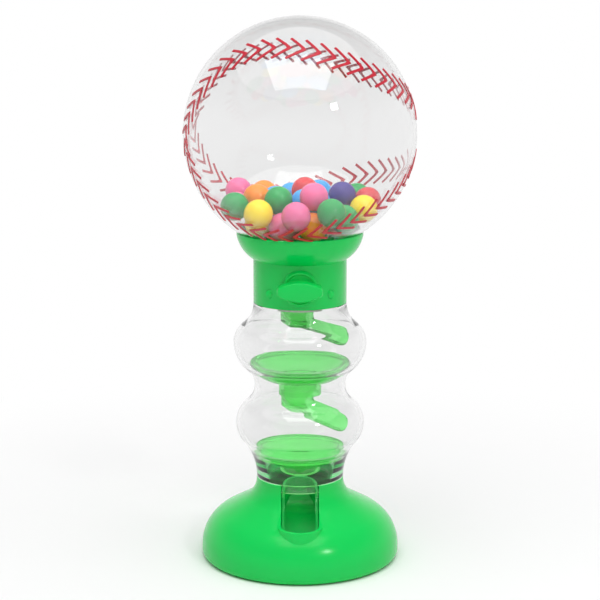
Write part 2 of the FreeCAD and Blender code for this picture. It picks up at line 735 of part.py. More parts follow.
# Base
def dome_points(inset):
    """The bell's flank from the foot up to the ring, at a depth below the outer face."""
    return [
        (f"base_radius - {inset}", "foot_height", f"shoulder_arc - {inset}", 1),
        (f"shoulder_centre + (shoulder_arc - {inset}) * cos(shoulder_angle)",
         f"foot_height + (shoulder_arc - {inset}) * sin(shoulder_angle)"),
        (f"flare_centre - (flare_arc + {inset}) * cos(shoulder_angle)",
         f"flare_height - (flare_arc + {inset}) * sin(shoulder_angle)", f"flare_arc + {inset}", -1),
        (f"ring_radius - {inset}", "flare_height"),
    ]


def reverse_path(path):
    """The same outline walked the other way, with each arc moved to its new start."""
    points = [entry[:2] for entry in path][::-1]
    arcs = [entry[2:] for entry in path[:-1]][::-1]
    turned = [(*point, arc[0], -arc[1]) if arc else point for point, arc in zip(points, arcs)]
    return turned + points[-1:]


def slot_outline(half):
    """A slot with round ends, from the axis to the lip's centre, seen from above."""
    return [
        (half, "0", half, 1),
        ("0", half, half, 1),
        (f"-{half}", "0"),
        (f"-{half}", "-lip_centre", half, 1),
        ("0", f"-lip_centre - {half}", half, 1),
        (half, "-lip_centre"),
    ]


def base_screw_circles(radius):
    places = []
    for bearing in (90, 210, 330):
        places.append((f"boss_circle * cos({bearing})", f"boss_circle * sin({bearing})", radius))
    return places


def make_base():
    shell = new_body("base_shell")
    outer = [
        ("plate_pocket", "0"),
        ("base_radius - foot_round", "0", "foot_round", 1),
        ("base_radius", "foot_round"),
        *dome_points("0"),
        ("ring_radius", "base_height"),
        ("ring_bore", "base_height"),
    ]
    inner = [
        *reverse_path(dome_points("base_wall")),
        ("base_radius - base_wall", "2 * plate_thickness"),
        ("ledge_bore", "2 * plate_thickness"),
        ("ledge_bore", "plate_thickness"),
        ("plate_pocket", "plate_thickness"),
    ]
    turn(shell, outer + inner)
    lip = [
        ("-lip_radius", "-lip_centre", "lip_radius", 1),
        ("0", "-lip_reach", "lip_radius", 1),
        ("lip_radius", "-lip_centre"),
        ("lip_radius", "lip_radius - lip_centre"),
        ("-lip_radius", "lip_radius - lip_centre"),
    ]
    pad(shell, "XY_Plane", [lip], "lip_height - lip_skirt", "lip_skirt")
    pad(shell, "XY_Plane", base_screw_circles("screw_boss"), "plate_thickness", "boss_top - plate_thickness")
    pilot = base_screw_circles("screw_radius + journal_play")
    pocket(shell, "XY_Plane", pilot, "plate_thickness", "base_screw_depth")
    slot = [
        ("slot_half_width", "-ring_radius / 2"),
        ("-slot_half_width", "-ring_radius / 2"),
        ("-slot_half_width", "-lip_centre", "slot_half_width", 1),
        ("0", "-lip_centre - slot_half_width", "slot_half_width", 1),
        ("slot_half_width", "-lip_centre"),
    ]
    pocket(shell, "XY_Plane", [slot], "lip_height - lip_skirt - base_wall", "base_height")
    return shell


def make_insert():
    """Delivery chute: a slot-shaped well with a curved ramp that brings the ball to the lip."""
    well = new_body("insert_well")
    pad(well, "XY_Plane", [slot_outline("insert_half")], "plate_thickness", "insert_top - plate_thickness")
    hollow = new_body("insert_hollow")
    pad(hollow, "XY_Plane", [slot_outline("insert_bore")], "0", "base_height")
    ramp = new_body("insert_ramp")
    back = "insert_bore + floor_thickness"
    ramp_under = "ramp_arc + floor_thickness"
    tail = "insert_half + lip_centre"
    pad(ramp, "YZ_Plane", [[
        ("insert_bore", "ramp_height + ramp_arc", "ramp_arc", -1),
        ("insert_bore - ramp_arc", "ramp_height"),
        (f"-({tail})", "ramp_height - ramp_fall"),
        (f"-({tail})", "ramp_height - ramp_fall - floor_thickness"),
        ("insert_bore - ramp_arc", "ramp_height - floor_thickness", ramp_under, 1),
        (back, "ramp_height + ramp_arc"),
    ]], "-slot_half_width", "2 * slot_half_width")
    bell = new_body("insert_bell")
    turn(bell, [
        ("0", "0"),
        ("base_radius - insert_recess", "0"),
        *dome_points("insert_recess"),
        ("ring_radius - insert_recess", "base_height"),
        ("0", "base_height"),
    ])
    space = combine("Cut", "insert_space", hollow, ramp)
    walls = combine("Cut", "insert_walls", well, space)
    return combine("Common", "delivery_chute", walls, bell)


def make_plate():
    plate = new_body("base_plate")
    pad(plate, "XY_Plane", [("0", "0", "plate_radius")], "0", "plate_thickness")
    pocket(plate, "XY_Plane", base_screw_circles("screw_radius + part_clearance"), "0", "plate_thickness")
    seat = "base_screw_head + part_clearance / 2"
    pocket(plate, "XY_Plane", base_screw_circles("screw_head_radius + part_clearance"), "0", seat)
    return plate


def make_base_screws():
    screws = []
    foot = "part_clearance / 2"
    for across, deep, _ in base_screw_circles("screw_radius"):
        head = solid("Cylinder", at(across, deep, foot), Radius="screw_head_radius", Height="base_screw_head")
        shank = solid("Cylinder", at(across, deep, foot), Radius="screw_radius",
                      Height="base_screw_depth + plate_thickness - part_clearance")
        screws.append(combine("Fuse", "base_screw", head, shank))
    group = doc.addObject("Part::Compound", "base_screws")
    group.Label = "base_screws"
    group.Links = screws
    return group


nodes = [
    make_globe(),
    *make_gumballs(),
    make_neck_front(),
    make_neck_rear(),
    make_neck_screws(),
    make_housing(),
    make_drum(),
    make_knob(),
    make_column("column_front_shell", True),
    make_column("column_rear_shell", False),
    *make_funnels(),
    make_chute("upper_chute", "upper_chute_top"),
    make_chute("lower_chute", "lower_chute_top"),
    make_base(),
    make_insert(),
    make_plate(),
    make_base_screws(),
]
doc.recompute()

failed = [item.Label for item in doc.Objects if "Invalid" in item.State or "Error" in item.State]
assert not failed, f"features that failed: {failed}"
for node in nodes:
    shape = node.Shape
    assert not shape.isNull() and shape.isValid() and shape.Solids, f"{node.Label} has no valid solid"

os.makedirs("parts", exist_ok=True)
for node in nodes:
    node.Shape.exportStep(f"parts/{node.Label}.step")
    print(f"{node.Label}: {len(node.Shape.Solids)} solid(s), {node.Shape.Volume:.0f} mm3")
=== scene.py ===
# %% [markdown]
# This lesson dresses a gumball machine: a clear globe with red stitching, a green neck with a turn
# knob, a clear column with two bulges, and a green bell base. The CAD frame gives every piece its
# place. Here each visible piece is modelled again with fine curves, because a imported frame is
# made of coarse facets that would show in a clear plastic.

# %% Load the frame
import math

import bpy
from mathutils import Matrix, Vector


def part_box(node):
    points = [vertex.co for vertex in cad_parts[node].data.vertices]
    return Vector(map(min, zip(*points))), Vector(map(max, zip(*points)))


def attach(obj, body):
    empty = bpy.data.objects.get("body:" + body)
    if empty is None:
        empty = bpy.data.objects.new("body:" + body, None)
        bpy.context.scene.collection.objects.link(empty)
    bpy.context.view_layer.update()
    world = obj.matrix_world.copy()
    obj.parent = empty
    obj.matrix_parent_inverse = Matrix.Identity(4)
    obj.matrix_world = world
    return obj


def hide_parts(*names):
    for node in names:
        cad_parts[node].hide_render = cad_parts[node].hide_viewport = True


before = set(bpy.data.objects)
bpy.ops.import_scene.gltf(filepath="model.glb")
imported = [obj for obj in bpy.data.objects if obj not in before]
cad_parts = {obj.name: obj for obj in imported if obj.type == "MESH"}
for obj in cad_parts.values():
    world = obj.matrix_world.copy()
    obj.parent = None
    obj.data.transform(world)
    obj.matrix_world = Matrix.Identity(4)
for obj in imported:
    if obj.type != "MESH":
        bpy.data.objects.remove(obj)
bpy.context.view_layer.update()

# %% [markdown]
# All the lengths below are real millimetres of this machine, so one factor turns them into the
# metres that Blender works in. The heights come from the frame, so a piece always meets its
# neighbours.

# %% Units and levels
MM = 0.001


def foot_of(node):
    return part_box(node)[0][2] / MM


def top_of(node):
    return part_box(node)[1][2] / MM


def reach_of(node):
    """How far a node reaches out to the right of the upright axis."""
    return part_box(node)[1][0] / MM


GLOBE_RADIUS = 51.0
GLOBE_WALL = 1.6
GLOBE_CENTRE = top_of("globe") - GLOBE_RADIUS
NECK_BOTTOM = foot_of("neck_front_shell")
COLLAR_TOP = top_of("neck_front_shell")
BASE_TOP = top_of("base_shell")
KNOB_HEIGHT = (foot_of("knob") + top_of("knob")) / 2
print("globe centre", GLOBE_CENTRE, "neck", NECK_BOTTOM, COLLAR_TOP, "base", BASE_TOP, "knob", KNOB_HEIGHT)

# %% [markdown]
# Most of this machine is turned: a profile is swept around the upright axis. By hand that is a
# single vertex, extruded point by point along the outline, and then spun. The profile holds the
# wall thickness too, so the clear pieces bend light as a real moulding does. Round stretches of a
# profile are written as bows: the points of an arc from one place to another.

# %% Turning on the upright axis
SMOOTH_ANGLE = math.radians(40)


def clear_selection():
    if bpy.context.object and bpy.context.object.mode != "OBJECT":
        bpy.ops.object.mode_set(mode="OBJECT")
    bpy.ops.object.select_all(action="DESELECT")


def bow(start, end, radius, side, count=10):
    """Points of the arc after start, up to end. Side 1 turns left and -1 turns right."""
    first, last = Vector(start), Vector(end)
    chord = last - first
    left = Vector((-chord.y, chord.x)).normalized()
    centre = (first + last) / 2 + left * side * math.sqrt(max(radius**2 - chord.length_squared / 4, 0))
    begin = math.atan2(*(first - centre).yx)
    sweep = (math.atan2(*(last - centre).yx) - begin) % math.tau
    if side < 0:
        sweep -= math.tau
    angles = [begin + sweep * step / count for step in range(1, count + 1)]
    return [(centre.x + radius * math.cos(angle), centre.y + radius * math.sin(angle)) for angle in angles]


def turned(name, outline, steps=128, sweep=math.tau, closed=True):
    """Spin a profile of radius and height, in millimetres, about the upright axis."""
    clear_selection()
    bpy.ops.mesh.primitive_plane_add(size=MM)
    piece = bpy.context.object
    piece.name = name
    piece.data.name = name
    bpy.ops.object.mode_set(mode="EDIT")
    bpy.ops.mesh.select_all(action="SELECT")
    bpy.ops.mesh.merge(type="CENTER")
    here = Vector((0, 0))
    path = [Vector(point) for point in outline + (outline[:1] if closed else [])]
    for index, point in enumerate(path):
        move = ((point.x - here.x) * MM, 0, (point.y - here.y) * MM)
        if index == 0:
            bpy.ops.transform.translate(value=move)
        else:
            bpy.ops.mesh.extrude_region_move(TRANSFORM_OT_translate={"value": move})
        here = point
    bpy.ops.mesh.select_all(action="SELECT")
    bpy.ops.mesh.remove_doubles(threshold=1e-6)
    bpy.ops.mesh.spin(steps=steps, angle=sweep, center=(0, 0, 0), axis=(0, 0, 1))
    bpy.ops.mesh.select_all(action="SELECT")
    bpy.ops.mesh.remove_doubles(threshold=1e-6)
    bpy.ops.mesh.delete_loose()
    if sweep != math.tau:
        bpy.ops.mesh.select_all(action="DESELECT")
        bpy.ops.mesh.select_non_manifold()
        bpy.ops.mesh.fill()
    bpy.ops.mesh.select_all(action="SELECT")
    bpy.ops.mesh.normals_make_consistent(inside=False)
    bpy.ops.object.mode_set(mode="OBJECT")
    bpy.ops.object.shade_smooth_by_angle(angle=SMOOTH_ANGLE)
    print(name, len(piece.data.polygons), "faces")
    return piece


# %% [markdown]
# Colours are written as sRGB hex values, as a paint card gives them, and one function turns them
# into the linear numbers that a shader works in. One more function adds a node and its links, so a
# material reads as a short list.

# %% Colour and nodes
def linear(code):
    channels = [int(code[index:index + 2], 16) / 255 for index in (1, 3, 5)]
    bent = [c / 12.92 if c <= 0.04045 else ((c + 0.055) / 1.055) ** 2.4 for c in channels]
    return (*bent, 1.0)


def add_node(material, kind, settings=None, **links):
    """Add a node, set its properties and sockets, and link outputs to its inputs by socket name."""
    node = material.node_tree.nodes.new(kind)
    for key, value in (settings or {}).items():
        if hasattr(node, key):
            setattr(node, key, value)
        else:
            node.inputs[key].default_value = value
    for key, output in links.items():
        material.node_tree.links.new(output, node.inputs[key.replace("_", " ")])
    return node


def new_material(name, **sockets):
    """A material with its Principled shader's sockets set."""
    material = bpy.data.materials.new(name)
    material.use_nodes = True
    shader = material.node_tree.nodes["Principled BSDF"]
    for socket, value in sockets.items():
        shader.inputs[socket.replace("_", " ")].default_value = value
    return material, shader


def moulded_skin(material, shader, grain_mm, depth_mm, gloss_low, gloss_high):
    """A moulding's faint unevenness: a soft ripple in the surface and in its gloss."""
    place = add_node(material, "ShaderNodeTexCoord")
    grain = add_node(material, "ShaderNodeTexNoise", {"Scale": 1 / (grain_mm * MM), "Detail": 3.0},
                     Vector=place.outputs["Object"])
    gloss = add_node(material, "ShaderNodeMapRange", {"To Min": gloss_low, "To Max": gloss_high},
                     Value=grain.outputs["Fac"])
    ripple = add_node(material, "ShaderNodeBump", {"Strength": 0.3, "Distance": depth_mm * MM},
                      Height=grain.outputs["Fac"])
    material.node_tree.links.new(gloss.outputs["Result"], shader.inputs["Roughness"])
    material.node_tree.links.new(ripple.outputs["Normal"], shader.inputs["Normal"])


# %% [markdown]
# Four plastics make what is seen of the machine. The globe and the column are clear polystyrene,
# polished in the mould. The neck, knob and base are glossy green ABS, and the delivery chute is that
# green darkened as painted shade for its hollow. The funnels and spoon chutes are a tinted polypropylene
# that lets light through.

# %% Plastics
# Polished clear plastic: sharp, nearly colourless, a little grey where two walls overlap
clear_plastic, clear_shader = new_material(
    "clear_polystyrene_polished", Base_Color=linear("#f5f5f5"), IOR=1.5, Transmission_Weight=1.0)
moulded_skin(clear_plastic, clear_shader, 30.0, 0.02, 0.0, 0.02)

# Moulded green plastic: an even, strong colour under a soft sheen, and thin enough to glow a little inside
green_plastic, green_shader = new_material(
    "green_abs_moulded", Base_Color=linear("#04d158"), IOR=1.38, Subsurface_Weight=0.2,
    Subsurface_Radius=(0.4, 1.0, 0.5), Subsurface_Scale=2.5 * MM)
moulded_skin(green_plastic, green_shader, 12.0, 0.04, 0.16, 0.26)

# The base green darkened for the delivery chute: a painted shade, so the slot reads as a shaded hollow
painted_shade_plastic, painted_shade_shader = new_material("green_abs_painted_shade", Base_Color=linear("#03a040"), IOR=1.4)
moulded_skin(painted_shade_plastic, painted_shade_shader, 12.0, 0.04, 0.2, 0.3)

# Tinted plastic: thin walls glow yellow-green, and walls behind each other deepen to a full green
tinted_plastic, tinted_shader = new_material(
    "tinted_polypropylene", Base_Color=linear("#86f78b"), IOR=1.25, Transmission_Weight=0.85)
moulded_skin(tinted_plastic, tinted_shader, 6.0, 0.02, 0.1, 0.18)


def finish(piece, material, slot, body, *nodes):
    """Give a piece its material, its body and the CAD nodes it stands for; the slot is not used."""
    piece.data.materials.clear()
    piece.data.materials.append(material)
    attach(piece, body)
    if nodes:
        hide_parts(*nodes)


for plastic in (clear_plastic, green_plastic, painted_shade_plastic, tinted_plastic):
    print("plastic", plastic.name)

# %% [markdown]
# The globe is a sphere with an open spigot at its foot. Both walls are in the profile: a clear ball
# with only one surface would act as a solid lens and turn the view inside upside down. It throws no
# shadow here, because traced glass would throw a black one, and real clear plastic hardly shades.

# %% Globe
SPIGOT_RADIUS = 17.0
GLOBE_ARC_STEPS = 64
SPIGOT_FOOT = foot_of("globe")
globe_inner = GLOBE_RADIUS - GLOBE_WALL
globe_bore = SPIGOT_RADIUS - GLOBE_WALL
outer_foot = GLOBE_CENTRE - math.sqrt(GLOBE_RADIUS**2 - SPIGOT_RADIUS**2)
inner_foot = GLOBE_CENTRE - math.sqrt(globe_inner**2 - globe_bore**2)
globe_outline = [(0, GLOBE_CENTRE + GLOBE_RADIUS)]
globe_outline += bow(globe_outline[-1], (SPIGOT_RADIUS, outer_foot), GLOBE_RADIUS, -1, GLOBE_ARC_STEPS)
globe_outline += [(SPIGOT_RADIUS, SPIGOT_FOOT), (globe_bore, SPIGOT_FOOT), (globe_bore, inner_foot)]
globe_outline += bow(globe_outline[-1], (0, GLOBE_CENTRE + globe_inner), globe_inner, 1, GLOBE_ARC_STEPS)
globe = turned("globe_shell", globe_outline, 160, closed=False)
finish(globe, clear_plastic, "clear_plastic", "filled_globe", "globe")
globe.visible_shadow = False

# %% [markdown]
# The gumballs' places are measured from the frame. A copy of each colour's node is merged and separated
# into its loose balls, and the box of each ball gives its centre.

# %% Where the gumballs lie
def loose_centres(node):
    """Centres of the separate solids in a CAD node."""
    clear_selection()
    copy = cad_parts[node].copy()
    copy.data = copy.data.copy()
    copy.parent = None
    copy.matrix_world = Matrix()
    bpy.context.collection.objects.link(copy)
    copy.select_set(True)
    bpy.context.view_layer.objects.active = copy
    bpy.ops.object.mode_set(mode="EDIT")
    bpy.ops.mesh.select_all(action="SELECT")
    bpy.ops.mesh.remove_doubles(threshold=1e-6)
    bpy.ops.mesh.separate(type="LOOSE")
    bpy.ops.object.mode_set(mode="OBJECT")
    solids = list(bpy.context.selected_objects)
    centres = [sum((Vector(corner) for corner in solid.bound_box), Vector()) / 8 for solid in solids]
    bpy.ops.object.delete()
    return sorted(centres, key=lambda centre: tuple(centre))


GUM_COLOURS = {
    "pink": "#e56b9b", "green": "#1f9a4e", "orange": "#f58a1f", "yellow": "#f8da12",
    "red": "#cf3b42", "purple": "#473a86", "blue": "#3d9fe0",
}
ball_places = {colour: loose_centres(f"{colour}_gumballs") for colour in GUM_COLOURS}
print("gumballs", {colour: len(places) for colour, places in ball_places.items()})

# %% [markdown]
# One ball is shaped from a cube, because a cube's grid has no poles. It is pressed a little flat, as a
# real candy ball is.

# %% One gumball
GUMBALL_DIAMETER = 12.4
GUMBALL_PRESS = (1.0, 0.995, 0.985)
clear_selection()
bpy.ops.mesh.primitive_cube_add(size=GUMBALL_DIAMETER * MM)
gumball = bpy.context.object
bpy.ops.object.mode_set(mode="EDIT")
bpy.ops.mesh.select_all(action="SELECT")
bpy.ops.mesh.subdivide(number_cuts=11)
bpy.ops.transform.tosphere(value=1.0)
bpy.ops.object.mode_set(mode="OBJECT")
widest = max(vertex.co.length for vertex in gumball.data.vertices)
bpy.ops.object.mode_set(mode="EDIT")
bpy.ops.mesh.select_all(action="SELECT")
bpy.ops.transform.resize(value=[GUMBALL_DIAMETER / 2 * MM / widest * press for press in GUMBALL_PRESS])
bpy.ops.object.mode_set(mode="OBJECT")
bpy.ops.object.shade_smooth()
print("gumball", len(gumball.data.polygons), "faces")

# %% [markdown]
# Every place gets its own copy of the ball, turned a little further each time, and the balls of one
# colour are joined under one hard sugar shell.

# %% Candy shells
def placed_copy(piece, place):
    """A copy of a piece with its own mesh, moved to its place."""
    copy = piece.copy()
    copy.data = piece.data.copy()
    copy.data.transform(place)
    bpy.context.collection.objects.link(copy)
    return copy


def join(piece, *others):
    clear_selection()
    for item in (piece, *others):
        item.select_set(True)
    bpy.context.view_layer.objects.active = piece
    bpy.ops.object.join()
    return piece


ROLL_STEP, SPIN_STEP, SPIN_START = 1.3, 2.1, 0.4
for colour, code in GUM_COLOURS.items():
    # A sugar shell: an even candy colour, a smooth gloss, and light that goes in a little way
    shell, shell_shader = new_material(
        f"candy_shell_{colour}", Base_Color=linear(code), IOR=1.45, Subsurface_Weight=0.12,
        Subsurface_Scale=1.5 * MM)
    moulded_skin(shell, shell_shader, 2.5, 0.05, 0.12, 0.26)
    copies = []
    for number, centre in enumerate(ball_places[colour]):
        spin = Matrix.Rotation(SPIN_STEP * number + SPIN_START, 4, "Z")
        turn = Matrix.Rotation(ROLL_STEP * number, 4, "X") @ spin
        copies.append(placed_copy(gumball, Matrix.Translation(centre) @ turn))
    balls = join(*copies)
    balls.name = f"{colour}_candies"
    finish(balls, shell, f"gum_{colour}", "filled_globe", f"{colour}_gumballs")
    print(balls.name, len(copies))
bpy.data.objects.remove(gumball)

# %% [markdown]
# Neck and collar are two green halves that meet on the plane through the axis. Each is half a turn of
# the same profile: a straight neck, a collar that flares out as an arc, and a seat inside that follows
# the globe. A hair less than half a turn keeps the two faces from lying in each other.

# %% Neck and collar
NECK_RADIUS = 20.7
NECK_WALL = 1.8
EDGE = 0.3
COLLAR_HEIGHT = 12.0
COLLAR_RADIUS = 28.0
COLLAR_ARC = 16.0
RIM_HEIGHT = 1.6
RIM_INSET = 0.6
RIM_CHAMFER = 0.35
RIM_DROP = 0.05
FLARE_LEAD = 0.5
SPIGOT_GAP = 0.3
SEAT_GAP = 0.2
SHELF_DROP = 2.6
SHELF_WIDTH = 4.0
SHELF_THICKNESS = 1.6
NEARLY_HALF = math.pi - 0.002
neck_bore = NECK_RADIUS - NECK_WALL
neck_top = COLLAR_TOP - COLLAR_HEIGHT
collar_bore = SPIGOT_RADIUS + SPIGOT_GAP
seat_radius = GLOBE_RADIUS + SEAT_GAP
rim_radius = COLLAR_RADIUS - RIM_INSET
shelf_top = top_of("hopper_housing") - SHELF_DROP
shelf_bore = neck_bore - SHELF_WIDTH


def seat_height(radius):
    """Height of the globe's seat at a radius."""
    return GLOBE_CENTRE - math.sqrt(seat_radius**2 - radius**2)


neck_outline = [(neck_bore, NECK_BOTTOM), (NECK_RADIUS - EDGE, NECK_BOTTOM)]
neck_outline += bow(neck_outline[-1], (NECK_RADIUS, NECK_BOTTOM + EDGE), EDGE, 1, 3)
neck_outline += [(NECK_RADIUS, neck_top - FLARE_LEAD), (NECK_RADIUS, neck_top)]
neck_outline += bow(neck_outline[-1], (COLLAR_RADIUS, COLLAR_TOP - RIM_HEIGHT), COLLAR_ARC, 1, 14)
rim_top = COLLAR_TOP - RIM_DROP
neck_outline += [(COLLAR_RADIUS, rim_top - RIM_CHAMFER), (COLLAR_RADIUS - RIM_CHAMFER, rim_top)]
neck_outline += [(rim_radius, seat_height(rim_radius))]
neck_outline += bow(neck_outline[-1], (collar_bore, seat_height(collar_bore)), seat_radius, -1, 8)
neck_outline += [(collar_bore, shelf_top), (shelf_bore, shelf_top)]
neck_outline += [(shelf_bore, shelf_top - SHELF_THICKNESS), (neck_bore, shelf_top - SHELF_THICKNESS)]
neck_front = turned("neck_front", neck_outline, 72, NEARLY_HALF)
neck_rear = turned("neck_rear", neck_outline, 72, -NEARLY_HALF)

# %% [markdown]
# The column is one smooth S after another: each stretch from a bulge to a waist is two arcs that share
# a tangent. Two small tools come first. One finds where the arcs meet, and the other adds the flat ledge
# that a dish rests on.

# %% Arcs and ledges
def joint(bulge, waist, arc, inset=0.0):
    """Where the bulge's arc meets the waist's arc, on the outer face or inset from it, and both radii."""
    step = bulge[0] - waist[0]
    climb = bulge[1] - waist[1]
    span = (step**2 + climb**2) / (2 * step)
    share = arc / span
    across = bulge[0] - share * step - inset * (1 - step / span)
    height = bulge[1] - share * climb + inset * climb / span
    return (across, height), arc - inset, span - arc + inset


def with_ledge(outline, top, reach, height):
    """The same falling outline with a flat ledge that stands out from it."""
    low = top - height

    def radius_at(level):
        for (first, start), (last, end) in zip(outline, outline[1:]):
            if end <= level <= start:
                return first + (last - first) * (level - start) / (end - start)

    above = [point for point in outline if point[1] > top]
    below = [point for point in outline if point[1] < low]
    return above + [(radius_at(top), top), (reach, top), (reach, low), (radius_at(low), low)] + below


# %% [markdown]
# The outer face is drawn from the base up to the neck, and the inner face back down. They run parallel,
# which gives the clear column its double outline. A short plug at each end goes into neck and base.

# %% Column
COLUMN_WALL = 1.8
BASE_WALL = 1.8
RING_RADIUS = 19.6
LOW_END = (RING_RADIUS, BASE_TOP)
LOW_BULGE = (28.8, BASE_TOP + 25.2)
WAIST = (20.4, BASE_TOP + 42.2)
HIGH_BULGE = (29.7, BASE_TOP + 62.1)
HIGH_END = (NECK_RADIUS, NECK_BOTTOM)
PLUG_GAP = 0.3
PLUG_LENGTH = 4.0
DISH_RIM = 1.2
LEDGE_HEIGHT = 1.2
LEDGE_INSET = 1.6
# Each stretch: its bulge, its waist or end, and the radius of the arc at the bulge
stretches = [
    (LOW_BULGE, LOW_END, 13.2), (LOW_BULGE, WAIST, 11.8),
    (HIGH_BULGE, WAIST, 16.0), (HIGH_BULGE, HIGH_END, 9.5),
]
column_outline = [LOW_END]
for (bulge, waist, arc), rising in zip(stretches, (True, False, True, False)):
    meeting, bulge_arc, waist_arc = joint(bulge, waist, arc)
    if rising:
        column_outline += bow(waist, meeting, waist_arc, -1) + bow(meeting, bulge, bulge_arc, 1)
    else:
        column_outline += bow(bulge, meeting, bulge_arc, 1) + bow(meeting, waist, waist_arc, -1)
plug = neck_bore - PLUG_GAP
plug_top = NECK_BOTTOM + PLUG_LENGTH
column_outline += [(plug, NECK_BOTTOM), (plug, plug_top), (plug - COLUMN_WALL, plug_top)]

foot_joint, low_joint, high_joint, top_joint = [joint(*stretch, COLUMN_WALL) for stretch in stretches]
low_inner, waist_inner, high_inner = [
    (radius - COLUMN_WALL, height) for radius, height in (LOW_BULGE, WAIST, HIGH_BULGE)]
inner_wall = [(plug - COLUMN_WALL, NECK_BOTTOM - COLUMN_WALL), top_joint[0]]
inner_wall += bow(top_joint[0], high_inner, top_joint[1], -1)
inner_wall += bow(high_inner, high_joint[0], high_joint[1], -1)
inner_wall += bow(high_joint[0], waist_inner, high_joint[2], 1)
inner_wall += bow(waist_inner, low_joint[0], low_joint[2], 1)
inner_wall += bow(low_joint[0], low_inner, low_joint[1], -1)
inner_wall += bow(low_inner, foot_joint[0], foot_joint[1], -1)
base_plug = RING_RADIUS - BASE_WALL - PLUG_GAP
plug_foot = BASE_TOP - PLUG_LENGTH
inner_wall += [(base_plug - COLUMN_WALL, BASE_TOP + COLUMN_WALL), (base_plug - COLUMN_WALL, plug_foot)]
for node in ("upper_funnel", "lower_funnel"):
    inner_wall = with_ledge(inner_wall, top_of(node) - DISH_RIM, reach_of(node) - LEDGE_INSET, LEDGE_HEIGHT)
column_outline += inner_wall + [(base_plug, plug_foot), (base_plug, BASE_TOP)]
column = turned("column_shell", column_outline, 144)
finish(column, clear_plastic, "clear_plastic", "machine", "column_front_shell", "column_rear_shell")
column.visible_shadow = False

# %% [markdown]
# The funnels catch the gumball and send it on to the next stage: shallow dishes on a short tube. A cut
# sphere could make the dish, but a turned profile gives its wall, its tube and its rounded rim at once.

# %% Funnels
DISH_DEPTH = 8.0
DISH_ARC = 15.0
RIM_UNDER = 2.0
RIM_FLAT = 2.7
RIM_EASE_IN, RIM_EASE_DOWN = 0.2, 0.1
OUTLET_BORE = 7.3
OUTLET_RADIUS = 9.45
SOCKET_BORE = 8.55


def funnel(name, node, outlet):
    """A dish with a rounded rim, on an outlet whose points come first."""
    rim = reach_of(node)
    rim_top = top_of(node)
    rim_low = rim_top - DISH_RIM
    dish_low = rim_top - DISH_DEPTH
    outline = outlet + [(OUTLET_RADIUS, dish_low)]
    outline += bow(outline[-1], (rim - RIM_UNDER, rim_low), DISH_ARC, 1)
    outline += [(rim - EDGE, rim_low), (rim, rim_low + EDGE), (rim, rim_top - EDGE), (rim - EDGE, rim_top)]
    outline += [(rim - RIM_FLAT, rim_top), (rim - RIM_FLAT - RIM_EASE_IN, rim_top - RIM_EASE_DOWN)]
    outline += bow(outline[-1], (OUTLET_BORE, dish_low + DISH_RIM), DISH_ARC, -1, 12)
    dish = turned(name, outline, 96)
    dish.visible_shadow = False
    finish(dish, tinted_plastic, "translucent_green", "machine", node)


chute_top = top_of("lower_chute")
upper_foot = foot_of("upper_funnel")
lower_foot = foot_of("lower_funnel")
funnel("upper_dish", "upper_funnel", [
    (OUTLET_BORE, chute_top), (SOCKET_BORE, chute_top),
    (SOCKET_BORE, upper_foot), (OUTLET_RADIUS, upper_foot)])
funnel("lower_dish", "lower_funnel", [(OUTLET_BORE, lower_foot), (OUTLET_RADIUS, lower_foot)])

# %% [markdown]
# The base is a bell: a rounded foot, a big shoulder arc, a straight flank and a flare up to the ring.
# The inner face is the same bell, inset by the wall, and a ledge at the foot takes the bottom cover.

# %% Base
BASE_RADIUS = 44.6
FOOT_HEIGHT = 5.0
FOOT_ROUND = 3.0
SHOULDER_ARC = 18.5
SHOULDER_ANGLE = math.radians(61.2)
FLARE_ARC = 10.7
POCKET_RADIUS = 39.8
POCKET_DEPTH = 2.0
COVER_LEDGE_BORE = 38.6
COVER_LEDGE_TOP = 4.0
shoulder_centre = BASE_RADIUS - SHOULDER_ARC
flare_centre = RING_RADIUS + FLARE_ARC
lean, rise = math.cos(SHOULDER_ANGLE), math.sin(SHOULDER_ANGLE)
flank = (shoulder_centre + (SHOULDER_ARC + FLARE_ARC) * lean - flare_centre) / rise
flare_height = FOOT_HEIGHT + (SHOULDER_ARC + FLARE_ARC) * rise + flank * lean


def bell(inset):
    """The bell's profile from foot to ring, inset from the outer face."""
    shoulder = SHOULDER_ARC - inset
    flare = FLARE_ARC + inset
    foot = (BASE_RADIUS - inset, FOOT_HEIGHT)
    flank_low = (shoulder_centre + shoulder * lean, FOOT_HEIGHT + shoulder * rise)
    flank_high = (flare_centre - flare * lean, flare_height - flare * rise)
    ring = (RING_RADIUS - inset, flare_height)
    line = [foot] + bow(foot, flank_low, shoulder, 1, 18)
    return line + [flank_high] + bow(flank_high, ring, flare, -1, 12)


base_outline = [(POCKET_RADIUS, 0), (BASE_RADIUS - FOOT_ROUND, 0)]
base_outline += bow(base_outline[-1], (BASE_RADIUS, FOOT_ROUND), FOOT_ROUND, 1, 6) + bell(0.0)
base_outline += [(RING_RADIUS, BASE_TOP - EDGE), (RING_RADIUS - EDGE, BASE_TOP)]
base_outline += [(RING_RADIUS - BASE_WALL, BASE_TOP)] + bell(BASE_WALL)[::-1]
base_outline += [(BASE_RADIUS - BASE_WALL, COVER_LEDGE_TOP), (COVER_LEDGE_BORE, COVER_LEDGE_TOP)]
base_outline += [(COVER_LEDGE_BORE, POCKET_DEPTH), (POCKET_RADIUS, POCKET_DEPTH)]
base = turned("base_bell", base_outline, 160)
finish(base, green_plastic, "green_plastic", "machine", "base_shell")

# %% [markdown]
# A turned piece is not enough where something breaks the round. Flat outlines extruded into blocks are
# then the quickest tools: they are fused on or cut away, and a thin bevel afterwards gives the edges
# the small radius that every moulding has.

# %% Blocks and cuts
EDGE_SMOOTH_ANGLE = math.radians(35)


